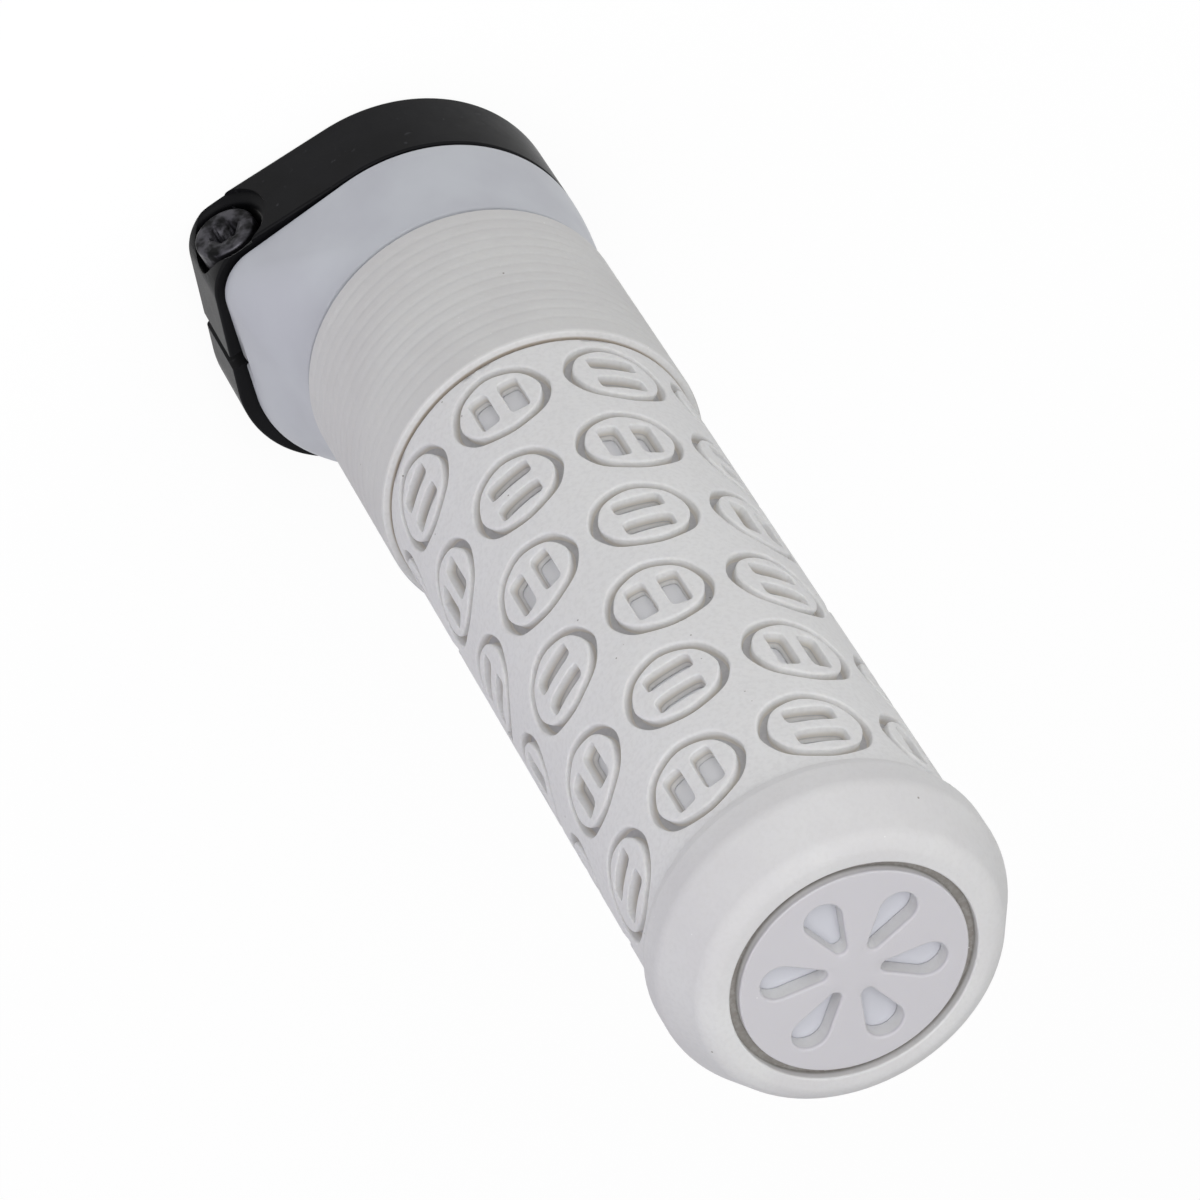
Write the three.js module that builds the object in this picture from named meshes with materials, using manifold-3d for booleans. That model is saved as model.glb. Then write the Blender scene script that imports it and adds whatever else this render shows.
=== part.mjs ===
// Bicycle handlebar grip of the lock-on kind, standing on the inboard face of its clamp.
// A soft rubber sleeve is moulded over a hard plastic core, and a split clamp ring with one
// pinch bolt locks the core's neck on the handlebar. Millimetres, +Z along the handlebar
// towards its end, origin at the centre of the bore on the clamp's inboard face.

import * as THREE from 'three';
import { mergeVertices } from 'three/addons/utils/BufferGeometryUtils.js';
import Module from 'manifold-3d';

// Handlebar and overall length
const barDiameter = 22.2;
const barClearance = 0.05;
const gripLength = 134;

// Clamp ring: a band round three lobes, which are the ring and the bosses for head and thread
const clampWidth = 10;
const clampRadius = 18.2;
const headBossSetback = 0.1;
const headBossY = 13.6;
const headBossRadius = 6.2;
const threadBossX = -2;
const threadBossY = 10.5;
const threadBossRadius = 13;
const clampBackChamfer = 0.6;
const clampFrontChamfer = 0.3;

// Slit that lets the clamp close, cut through the core's neck too and a little into its collar
const slitWidth = 1.6;
const slitX = 5.5;
const collarSlitDepth = 2;

// Pinch bolt, with its axis along X through the two bosses
const boltDiameter = 4;
const boltLength = 25;
const boltY = 15;
const boltHeadDiameter = 7;
const boltHeadHeight = 4;
const boltHeadSink = 0.8;
const boltChamfer = 0.4;
const hexSocketWidth = 3;
const hexSocketDepth = 2.2;
const boltClearance = 0.25;
const boltSeatGap = 0.2;
const pocketDiameter = 8.6;
const pocketMouthDiameter = 9.6;
const pocketMouthDepth = 1.6;

// Hard core: a neck inside the clamp, a flared collar, a tube under the rubber, a closed end
const neckWall = 1.05;
const neckClearance = 0.1;
const neckRecess = 0.5;
const clampGap = 0.3;
const collarHeadBossStep = 0.9;
const collarThreadBossStep = 1.7;
const collarLip = 0.9;
const collarLength = 12.3;
const collarDrawIn = 0.85;
const coreWall = 3.75;
const coreEndWall = 2.5;

// Rubber sleeve: ribs at the thumb, a shoulder with a groove at its foot, the tread, and a
// flange round the closed end
const mouldGap = 0.3;
const ribRadius = 17.6;
const ribPitch = 1.8;
const ribDepth = 0.2;
const ribLeadIn = 0.4;
const shoulderBandWidth = 1.9;
const shoulderZ = 47.6;
const shoulderBevel = 0.25;
const footGrooveWidth = 0.4;
const footGrooveDepth = 0.5;
const treadRadius = 16.7;
const flangeWidth = 9.9;
const lipRadius = 17.3;
const lipSlope = 1.3;
const flangeRadius = 17.75;
const coneLength = 5.1;
const coneSlopeRadius = 17.5;
const coneEndRadius = 15.3;
const coneBlend = 0.6;
const endRingRadius = 13.9;
const endWall = 1.6;

// Disc in the sleeve's closed end, with a groove round it and windows down to the core
const discRadius = 11.45;
const discGrooveWidth = 1.1;
const discGrooveDepth = 1.2;
const discWindowCount = 6;
const windowRootX = 3.4;
const windowRootRadius = 0.7;
const windowTipX = 7.5;
const windowTipRadius = 1.9;

// Tread: eight-cornered pads in rings that wind on round the sleeve, each pad inside a moat
// and with two slots down to the core, which lie along the grip and round it by turns
const padsAround = 8;
const padRowPitch = 12.6;
const padRowTurn = 11.25;
const padCorners = 8;
const moatReachAround = 11.8;
const moatReachAlong = 10.7;
const moatWidth = 0.95;
const moatDepth = 1.15;
const slotWidth = 2.2;
const slotLength = 5.2;
const slotSpacing = 3.5;

// Fineness of the round forms
const facets = 32;
const lobeSteps = 40;
const boltFacets = 16;
const windowSteps = 8;
const collarSteps = 4;

const boreRadius = barDiameter / 2 + barClearance;
const neckRadius = boreRadius + neckWall;
const coreRadius = boreRadius + coreWall;
const collarStart = clampWidth + clampGap;
const collarEnd = collarStart + collarLength;
const collarEndRadius = clampRadius - collarDrawIn;
const sleeveStart = collarEnd + mouldGap;
const sleeveInnerRadius = coreRadius + mouldGap;
const flangeStart = gripLength - flangeWidth;
const coreTop = gripLength - endWall - mouldGap;
const headBossSideX = clampRadius - headBossSetback;
const headBossX = headBossSideX - headBossRadius;
const boltHeadTopX = headBossSideX - boltHeadSink;
const boltSeatX = boltHeadTopX - boltHeadHeight;
const outside = 2 * clampRadius;

const wasm = await Module();
wasm.setup();

// A closed geometry as a solid that can be joined and cut
function toSolid(geometry) {
  const bare = geometry.clone();
  bare.deleteAttribute('normal');
  bare.deleteAttribute('uv');
  const merged = mergeVertices(bare, 1e-4);
  return new wasm.Manifold(new wasm.Mesh({
    numProp: 3,
    vertProperties: new Float32Array(merged.attributes.position.array),
    triVerts: new Uint32Array(merged.index.array),
  }));
}

// A solid back as a geometry, with one normal for each flat face
function toGeometry(solid) {
  const mesh = solid.getMesh();
  const geometry = new THREE.BufferGeometry();
  geometry.setAttribute('position', new THREE.BufferAttribute(mesh.vertProperties, 3));
  geometry.setIndex(new THREE.BufferAttribute(mesh.triVerts, 1));
  const flat = geometry.toNonIndexed();
  flat.computeVertexNormals();
  return flat;
}

// A body of revolution about Z from a closed profile of [radius, z] pairs
function revolve(profile, segments = facets) {
  const points = [...profile, profile[0]].map(([radius, z]) => new THREE.Vector2(radius, z));
  const geometry = new THREE.LatheGeometry(points, segments);
  return toSolid(geometry.rotateX(Math.PI / 2));
}

// A round bar along Z from one height to another
function rod(radius, low, high, segments = facets) {
  return revolve([[0, low], [radius, low], [radius, high], [0, high]], segments);
}

// A solid turned so that what ran along Z runs along X
function alongX(solid) {
  return solid.rotate([0, 90, 0]);
}

// An outline pushed along Z from one height to another
function prism(outline, low, high) {
  const shape = new THREE.Shape(outline);
  const geometry = new THREE.ExtrudeGeometry(shape, { depth: high - low, bevelEnabled: false });
  return toSolid(geometry.translate(0, 0, low));
}

// A rectangular block between two corners
function block(low, high) {
  const size = high.map((value, axis) => value - low[axis]);
  const centre = high.map((value, axis) => (value + low[axis]) / 2);
  return toSolid(new THREE.BoxGeometry(...size).translate(...centre));
}

function join(solids) {
  return solids.reduce((whole, solid) => whole.add(solid));
}

// The outline of a band stretched round circles, each a lobe { x, y, radius }
function bandOutline(lobes, steps) {
  return Array.from({ length: steps }, (_, step) => {
    const angle = (2 * Math.PI * (step + 0.5)) / steps;
    const across = new THREE.Vector2(Math.cos(angle), Math.sin(angle));
    const reach = (lobe) => lobe.x * across.x + lobe.y * across.y + lobe.radius;
    const lobe = lobes.reduce((best, next) => (reach(next) > reach(best) ? next : best));
    return new THREE.Vector2(lobe.x, lobe.y).addScaledVector(across, lobe.radius);
  });
}

// A solid skinned over outlines with equally many points, given as { outline, z } from low to high
function loft(sections) {
  const count = sections[0].outline.length;
  const positions = sections.flatMap(({ outline, z }) => outline.flatMap(({ x, y }) => [x, y, z]));
  const last = (sections.length - 1) * count;
  const index = [];
  for (let ring = 0; ring < last; ring += count) {
    for (let point = 0; point < count; point += 1) {
      const next = (point + 1) % count;
      const [a, b] = [ring + point, ring + next];
      const [c, d] = [a + count, b + count];
      index.push(a, b, d, a, d, c);
    }
  }
  for (let point = 1; point < count - 1; point += 1) {
    index.push(0, point + 1, point);
    index.push(last, last + point, last + point + 1);
  }
  const geometry = new THREE.BufferGeometry();
  geometry.setAttribute('position', new THREE.Float32BufferAttribute(positions, 3));
  geometry.setIndex(index);
  return toSolid(geometry);
}

// Outline of the clamp, or of the collar that follows it, drawn in by a margin
function clampOutline(ring, headBoss, threadBoss, inset = 0) {
  return bandOutline([
    { x: 0, y: 0, radius: ring - inset },
    { x: headBossX, y: headBossY, radius: headBoss - inset },
    { x: threadBossX, y: threadBossY, radius: threadBoss - inset },
  ], lobeSteps);
}

// Slot through the walls on the bolt's side, from below the part up to a height
function slitCutter(top) {
  return block([slitX - slitWidth / 2, 0, -clampWidth], [slitX + slitWidth / 2, outside, top]);
}

// Split ring with a chamfer round each face, a stepped pocket for the bolt's head and a bolt hole
function clampRing() {
  const ringOutline = (inset) => (
    clampOutline(clampRadius, headBossRadius, threadBossRadius, inset)
  );
  const band = loft([
    { outline: ringOutline(clampBackChamfer), z: 0 },
    { outline: ringOutline(0), z: clampBackChamfer },
    { outline: ringOutline(0), z: clampWidth - clampFrontChamfer },
    { outline: ringOutline(clampFrontChamfer), z: clampWidth },
  ]);
  const pocketX = boltSeatX - boltSeatGap;
  const pocket = revolve([
    [0, pocketX],
    [pocketDiameter / 2, pocketX],
    [pocketDiameter / 2, headBossSideX - pocketMouthDepth],
    [pocketMouthDiameter / 2, headBossSideX],
    [pocketMouthDiameter / 2, outside],
    [0, outside],
  ], boltFacets);
  const hole = rod(boltDiameter / 2 + boltClearance, -outside, outside, boltFacets);
  const boltCut = alongX(pocket.add(hole)).translate([0, boltY, clampWidth / 2]);
  const bore = rod(neckRadius + neckClearance, -clampWidth, 2 * clampWidth);
  return band.subtract(bore).subtract(slitCutter(2 * clampWidth)).subtract(boltCut);
}

// Socket-head bolt, its head resting in the clamp's pocket
function clampBolt() {
  const headRadius = boltHeadDiameter / 2;
  const shankRadius = boltDiameter / 2;
  const shankEndX = boltSeatX - boltLength;
  const body = revolve([
    [0, shankEndX],
    [shankRadius - boltChamfer, shankEndX],
    [shankRadius, shankEndX + boltChamfer],
    [shankRadius, boltSeatX],
    [headRadius, boltSeatX],
    [headRadius, boltHeadTopX - boltChamfer],
    [headRadius - boltChamfer, boltHeadTopX],
    [0, boltHeadTopX],
  ], boltFacets);
  const socket = rod(hexSocketWidth / Math.sqrt(3), boltHeadTopX - hexSocketDepth, outside, 6);
  return alongX(body.subtract(socket)).translate([0, boltY, clampWidth / 2]);
}

// Collar that starts flush with the clamp, with smaller bosses, and draws in to a circle
function collar() {
  const rim = clampOutline(
    clampRadius,
    headBossRadius - collarHeadBossStep,
    threadBossRadius - collarThreadBossStep,
  );
  const round = bandOutline([{ x: 0, y: 0, radius: collarEndRadius }], lobeSteps);
  const flareStart = collarStart + collarLip;
  const sections = [{ outline: rim, z: collarStart }];
  for (let step = 0; step <= collarSteps; step += 1) {
    const way = step / collarSteps;
    const drawIn = (1 - Math.cos(Math.PI * way)) / 2;
    const outline = rim.map((point, at) => point.clone().lerp(round[at], drawIn));
    sections.push({ outline, z: flareStart + (collarEnd - flareStart) * way });
  }
  return loft(sections);
}

// Neck, collar and closed tube in one moulding, bored for the handlebar
function innerCore() {
  const tube = revolve([
    [0, neckRecess],
    [neckRadius, neckRecess],
    [neckRadius, collarStart + collarLip],
    [coreRadius, collarStart + collarLip],
    [coreRadius, coreTop],
    [0, coreTop],
  ]);
  const bore = rod(boreRadius, -clampWidth, coreTop - coreEndWall);
  return tube.add(collar()).subtract(bore).subtract(slitCutter(collarStart + collarSlitDepth));
}

// Sleeve before the tread is cut: ribs, shoulder, tread wall, flange, cone, end ring and disc
function plainSleeve() {
  const ribTop = shoulderZ - shoulderBandWidth;
  const ribLow = sleeveStart + ribLeadIn;
  const ribCount = Math.floor((ribTop - ribLow) / ribPitch);
  const ribs = Array.from({ length: ribCount }, (_, rib) => {
    const crestZ = ribTop - (ribCount - rib) * ribPitch;
    return [[ribRadius, crestZ], [ribRadius - ribDepth, crestZ + ribPitch / 2]];
  }).flat();
  const coneTop = gripLength - coneBlend;
  const grooveOuter = discRadius + discGrooveWidth;
  return revolve([
    [sleeveInnerRadius, sleeveStart],
    [ribRadius - ribLeadIn, sleeveStart],
    ...ribs,
    [ribRadius, ribTop],
    [ribRadius, shoulderZ - shoulderBevel],
    [ribRadius - shoulderBevel, shoulderZ],
    [treadRadius - footGrooveDepth, shoulderZ],
    [treadRadius - footGrooveDepth, shoulderZ + footGrooveWidth],
    [treadRadius, shoulderZ + footGrooveWidth],
    [treadRadius, flangeStart],
    [lipRadius, flangeStart],
    [flangeRadius, flangeStart + lipSlope],
    [flangeRadius, gripLength - coneLength - coneBlend],
    [coneSlopeRadius, gripLength - coneLength],
    [coneEndRadius, coneTop],
    [endRingRadius, gripLength],
    [grooveOuter, gripLength],
    [grooveOuter, gripLength - discGrooveDepth],
    [discRadius, gripLength - discGrooveDepth],
    [discRadius, gripLength],
    [0, gripLength],
    [0, gripLength - endWall],
    [sleeveInnerRadius, gripLength - endWall],
  ]);
}

// Polygon with corners on an ellipse about the origin, one of them on the Y axis
function cornerOutline(width, height) {
  return Array.from({ length: padCorners }, (_, corner) => {
    const angle = (2 * Math.PI * corner) / padCorners;
    return new THREE.Vector2(-Math.sin(angle) * width / 2, Math.cos(angle) * height / 2);
  });
}

// A cutter that stands on the sleeve: an outline in the plane of circumference and Z,
// pushed outwards from inside the sleeve's bore
function radialPrism(outline) {
  const around = new THREE.Vector3(0, 1, 0);
  const up = new THREE.Vector3(0, 0, 1);
  const outwards = new THREE.Vector3(1, 0, 0);
  const low = coreRadius - coreWall;
  const shape = new THREE.Shape(outline);
  const geometry = new THREE.ExtrudeGeometry(shape, { depth: outside - low, bevelEnabled: false });
  geometry.translate(0, 0, low);
  return toSolid(geometry.applyMatrix4(new THREE.Matrix4().makeBasis(around, up, outwards)));
}

// A ring-shaped cutter between a moat's outer wall and its pad, down to the moat's floor
function moatCutter() {
  const drawIn = (2 * moatWidth) / Math.cos(Math.PI / padCorners);
  const outer = cornerOutline(moatReachAround, moatReachAlong);
  const pad = cornerOutline(moatReachAround - drawIn, moatReachAlong - drawIn);
  const floor = rod(treadRadius - moatDepth, -outside, outside);
  return radialPrism(outer).subtract(radialPrism(pad)).subtract(floor);
}

// The pair of slots in a pad, side by side, running along the grip or turned to run round it
function slotCutter(turned) {
  const [x, y] = [slotWidth / 2, slotLength / 2];
  const corners = [[-x, -y], [x, -y], [x, y], [-x, y]];
  return join([-1, 1].map((side) => {
    const shift = (side * slotSpacing) / 2;
    return radialPrism(corners.map(([across, along]) => (
      turned
        ? new THREE.Vector2(-along, across + shift)
        : new THREE.Vector2(across + shift, along)
    )));
  }));
}

// All the moats and slots: as many rings of pads as the tread's length holds, centred in it
function treadCutters() {
  const rows = Math.floor((flangeStart - shoulderZ) / padRowPitch);
  const firstZ = (shoulderZ + flangeStart - (rows - 1) * padRowPitch) / 2;
  const moat = moatCutter();
  const slots = [slotCutter(false), slotCutter(true)];
  const cutters = [];
  for (let row = 0; row < rows; row += 1) {
    for (let pad = 0; pad < padsAround; pad += 1) {
      const angle = (360 * pad) / padsAround + row * padRowTurn;
      const cutter = moat.add(slots[(row + pad) % 2]);
      cutters.push(cutter.rotate([0, 0, angle]).translate([0, 0, firstZ + row * padRowPitch]));
    }
  }
  return join(cutters);
}

// Tapered windows round the disc, through the sleeve's end wall
function discWindows() {
  const outline = bandOutline([
    { x: windowRootX, y: 0, radius: windowRootRadius },
    { x: windowTipX, y: 0, radius: windowTipRadius },
  ], windowSteps);
  const window = prism(outline, gripLength - 2 * endWall, gripLength + endWall);
  return join(Array.from({ length: discWindowCount }, (_, at) => (
    window.rotate([0, 0, (360 * at) / discWindowCount])
  )));
}

function gripSleeve() {
  return plainSleeve().subtract(treadCutters()).subtract(discWindows());
}

const rubber = new THREE.MeshStandardMaterial({ color: '#d2d0cc', roughness: 0.72, metalness: 0 });
const hardPlastic = new THREE.MeshStandardMaterial({ color: '#c3cad1', roughness: 0.45, metalness: 0 });
const anodised = new THREE.MeshStandardMaterial({ color: '#1c1c1e', roughness: 0.42, metalness: 0.8 });
const steel = new THREE.MeshStandardMaterial({ color: '#8d8f93', roughness: 0.35, metalness: 1 });

const pieces = [
  ['clamp_ring', clampRing(), anodised],
  ['clamp_bolt', clampBolt(), steel],
  ['inner_core', innerCore(), hardPlastic],
  ['grip_sleeve', gripSleeve(), rubber],
];

const grip = new THREE.Group();
grip.name = 'handlebar_grip';
for (const [name, solid, material] of pieces) {
  const mesh = new THREE.Mesh(toGeometry(solid), material);
  mesh.name = name;
  grip.add(mesh);
}

export default grip;
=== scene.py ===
"""Dressed look of a bicycle's lock-on handlebar grip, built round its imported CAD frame.

Lengths are millimetres in the frame's axes: +Z runs along the handlebar towards its end, and the
grip stands on the clamp's inboard face. Every surface is worked out as numpy grids of points and
turned into Blender's metres when its mesh is made.
"""

import logging
import math
from collections.abc import Mapping, Sequence
from dataclasses import dataclass, field
from enum import Enum
from typing import Any

import bmesh
import bpy
import numpy as np
from mathutils import Matrix, Vector

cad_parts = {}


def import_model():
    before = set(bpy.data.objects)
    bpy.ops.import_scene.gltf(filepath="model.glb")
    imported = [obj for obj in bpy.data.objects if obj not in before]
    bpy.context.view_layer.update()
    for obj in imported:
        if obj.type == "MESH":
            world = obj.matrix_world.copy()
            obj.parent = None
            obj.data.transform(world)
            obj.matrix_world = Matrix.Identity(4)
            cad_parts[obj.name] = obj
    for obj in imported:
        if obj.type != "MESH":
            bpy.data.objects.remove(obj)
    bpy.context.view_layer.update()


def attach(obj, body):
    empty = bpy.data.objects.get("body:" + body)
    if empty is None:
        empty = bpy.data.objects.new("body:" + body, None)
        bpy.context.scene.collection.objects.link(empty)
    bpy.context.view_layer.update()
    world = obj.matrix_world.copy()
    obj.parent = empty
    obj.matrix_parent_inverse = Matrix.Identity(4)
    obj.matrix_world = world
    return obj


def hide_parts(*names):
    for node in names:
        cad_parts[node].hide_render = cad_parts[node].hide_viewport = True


log = logging.getLogger("handlebar_grip")

BODY = "root"
MILLIMETRE = 0.001
# Points that lie closer together than this, in millimetres, are sewn into one.
SEW_DISTANCE = 0.002
# A corner whose half angle is wider than this counts as straight.
STRAIGHT = math.radians(89)
# How sharply chance sorts the points that carry a speck from the others.
CHANCE_EDGE = 0.02

Point = tuple[float, float, float]
Colour = tuple[float, float, float, float]
# Where a mask is 0 and where it is 1.
Span = tuple[float, float]


class Slot(Enum):
    """Material slots of the record."""

    RUBBER = "rubber"
    CORE = "core_plastic"
    CLAMP = "anodised_clamp"
    BOLT = "bolt_steel"


# Curves and outlines


def circle_angles(count: int) -> np.ndarray:
    """Returns that many even angles round a full turn, from zero."""
    return np.arange(count) * (2 * math.pi / count)


def quarter(steps: int) -> np.ndarray:
    """Returns the even angles of a quarter turn, its two ends included."""
    return np.linspace(0, math.pi / 2, steps + 1)


def rays(angles: np.ndarray) -> np.ndarray:
    """Returns the unit vectors towards the angles, with x and y in a last axis of two."""
    return np.stack([np.cos(angles), np.sin(angles)], axis=-1)


def rounded_edge(rounding: float, steps: int) -> tuple[np.ndarray, np.ndarray]:
    """Quarter circle of a rounded edge, from the face to the side.

    At each turn t it lies r(1 - sin t) outside the side and r(1 - cos t) below the face.

    Args:
        rounding: the circle's radius r.
        steps: pieces of the quarter circle.

    Returns:
        How far outside and how far below each point lies.
    """
    turn = quarter(steps)
    return rounding * (1 - np.sin(turn)), rounding * (1 - np.cos(turn))


@dataclass(frozen=True)
class Lobe:
    """A circle that a stretched band goes round."""

    x: float
    y: float
    radius: float


def band_outline(lobes: Sequence[Lobe], angles: np.ndarray, inset: float = 0.0) -> np.ndarray:
    """Outline of a band stretched round circles.

    For each direction it takes the circle that reaches farthest that way, and the point is that
    circle's centre plus the direction times its radius less the inset.

    Args:
        lobes: the circles.
        angles: directions of the outline's normals.
        inset: how far the outline is drawn in.

    Returns:
        Points of shape (angles, 2).
    """
    across = rays(angles)
    centres = np.array([(lobe.x, lobe.y) for lobe in lobes])
    radii = np.array([lobe.radius for lobe in lobes])
    best = (across @ centres.T + radii).argmax(axis=-1)
    return centres[best] + across * (radii[best] - inset)[:, None]


def rounded_profile(corners: Sequence[Point], steps: int = 4) -> np.ndarray:
    """Profile through corners, each rounded by an arc that touches both of its sides.

    The arc's centre lies on the corner's bisector, at the rounding over the sine of the half
    angle. The arc goes from one touching point to the other by even turns about that centre.

    Args:
        corners: radius, height and rounding of each corner. The first and last stay sharp.
        steps: pieces of each arc.

    Returns:
        Points of shape (points, 2), as radius and height.
    """
    places = np.array([corner[:2] for corner in corners], dtype=float)
    pieces = [places[:1]]
    for at in range(1, len(corners) - 1):
        corner, rounding = places[at], corners[at][2]
        back = places[at - 1] - corner
        ahead = places[at + 1] - corner
        back /= np.linalg.norm(back)
        ahead /= np.linalg.norm(ahead)
        half = math.acos(float(np.clip(back @ ahead, -1, 1))) / 2
        if rounding == 0 or half > STRAIGHT:
            pieces.append(corner[None])
            continue
        middle = (back + ahead) / np.linalg.norm(back + ahead)
        centre = corner + middle * rounding / math.sin(half)
        spread = (math.pi / 2 - half) * np.linspace(-1, 1, steps + 1)
        side = (ahead - back) / np.linalg.norm(ahead - back)
        arc = np.cos(spread)[:, None] * -middle + np.sin(spread)[:, None] * side
        pieces.append(centre + rounding * arc)
    pieces.append(places[-1:])
    return np.concatenate(pieces)


def spin(profile: np.ndarray, angles: np.ndarray) -> np.ndarray:
    """Surface of revolution: each profile point's radius times the turn's cosine and sine.

    Args:
        profile: points as radius and height, of shape (points, 2).
        angles: turns about Z.

    Returns:
        A grid of shape (points, angles, 3).
    """
    radius, height = profile[:, :1], profile[:, 1:]
    x = radius * np.cos(angles)
    y = radius * np.sin(angles)
    return np.stack([x, y, np.broadcast_to(height, x.shape)], axis=-1)


def along_x(grid: np.ndarray) -> np.ndarray:
    """Turns a grid so that what ran along Z runs along X."""
    return np.stack([grid[..., 2], grid[..., 1], -grid[..., 0]], axis=-1)


# Meshes


@dataclass
class Patchwork:
    """Grids of points that are sewn along their common edges into one closed mesh."""

    name: str
    points: list[np.ndarray] = field(default_factory=list)
    quads: list[np.ndarray] = field(default_factory=list)

    def add(self, grids: np.ndarray, closed: bool = False) -> None:
        """Adds the quads between neighbouring points.

        Args:
            grids: one grid of shape (rows, columns, 3), or many as (..., rows, columns, 3).
            closed: whether the last column joins on to the first.
        """
        rows, columns = grids.shape[-3:-1]
        start = sum(len(points) for points in self.points)
        index = np.arange(grids.size // 3).reshape(-1, rows, columns) + start
        if closed:
            index = np.concatenate([index, index[:, :, :1]], axis=2)
        corners = (index[:, :-1, :-1], index[:, :-1, 1:], index[:, 1:, 1:], index[:, 1:, :-1])
        self.points.append(grids.reshape(-1, 3))
        self.quads.append(np.stack(corners, axis=-1).reshape(-1, 4))

    def sew(self) -> bpy.types.Object:
        """Makes the mesh, joins points that lie together and turns every face outwards.

        Returns:
            The object, linked to the scene, at the origin.
        """
        mesh = bpy.data.meshes.new(self.name)
        points = np.concatenate(self.points) * MILLIMETRE
        mesh.from_pydata(points.tolist(), [], np.concatenate(self.quads).tolist())
        work = bmesh.new()
        work.from_mesh(mesh)
        bmesh.ops.remove_doubles(work, verts=work.verts, dist=SEW_DISTANCE * MILLIMETRE)
        bmesh.ops.recalc_face_normals(work, faces=work.faces)
        loose_edges = sum(not edge.is_manifold for edge in work.edges)
        work.to_mesh(mesh)
        work.free()
        mesh.shade_smooth()
        piece = bpy.data.objects.new(self.name, mesh)
        bpy.context.scene.collection.objects.link(piece)
        log.info("%s: %d faces, %d open edges", self.name, len(mesh.polygons), loose_edges)
        return piece


def settle(piece: bpy.types.Object) -> None:
    """Replaces an object's mesh by the one that its modifiers make.

    Args:
        piece: the object, which loses its modifiers.
    """
    graph = bpy.context.evaluated_depsgraph_get()
    mesh = bpy.data.meshes.new_from_object(piece.evaluated_get(graph))
    piece.modifiers.clear()
    piece.data = mesh
    mesh.name = piece.name


def carve(piece: bpy.types.Object, cutter: bpy.types.Object) -> None:
    """Cuts one solid out of another and deletes the cutter.

    Args:
        piece: the solid that is cut.
        cutter: the solid that is taken away.
    """
    cut = piece.modifiers.new("cut", "BOOLEAN")
    cut.operation = "DIFFERENCE"
    cut.solver = "EXACT"
    cut.object = cutter
    settle(piece)
    bpy.data.objects.remove(cutter)


def even_shading(piece: bpy.types.Object) -> None:
    """Lets large faces lead the shading, so that flats stay flat beside rounded edges."""
    weigh = piece.modifiers.new("even_shading", "WEIGHTED_NORMAL")
    weigh.mode = "FACE_AREA"


def box_cutter(low: Sequence[float], high: Sequence[float]) -> bpy.types.Object:
    """Makes a block for cutting: one loop from the middle of its foot over its sides to its top.

    Args:
        low: its lowest corner.
        high: its highest corner.

    Returns:
        The block.
    """
    patch = Patchwork("block")
    ring = np.array([[low[0], low[1]], [high[0], low[1]], [high[0], high[1]], [low[0], high[1]]])
    middle = np.broadcast_to(ring.mean(axis=0), ring.shape)
    outlines = np.stack([middle, ring, ring, middle])
    heights = np.array([low[2], low[2], high[2], high[2]], dtype=float)
    patch.add(lift(outlines, heights), closed=True)
    return patch.sew()


def lift(outlines: np.ndarray, heights: np.ndarray) -> np.ndarray:
    """Lays each outline of shape (outlines, points, 2) at its own height along Z."""
    z = np.broadcast_to(heights[:, None, None], outlines.shape[:2] + (1,))
    return np.concatenate([outlines, z], axis=-1)


# Shader nodes


def colour(red: float, green: float, blue: float) -> Colour:
    """Turns a colour as a screen shows it into Blender's linear one.

    Args:
        red: share of red, from 0 to 255.
        green: share of green.
        blue: share of blue.

    Returns:
        The linear colour, opaque.
    """
    parts = np.array([red, green, blue]) / 255
    linear = np.where(parts <= 0.04045, parts / 12.92, ((parts + 0.055) / 1.055) ** 2.4)
    return (*map(float, linear), 1.0)


@dataclass(frozen=True)
class Tint:
    """A colour, and the share of it that is laid over what is below."""

    colour: Colour
    share: float


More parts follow.
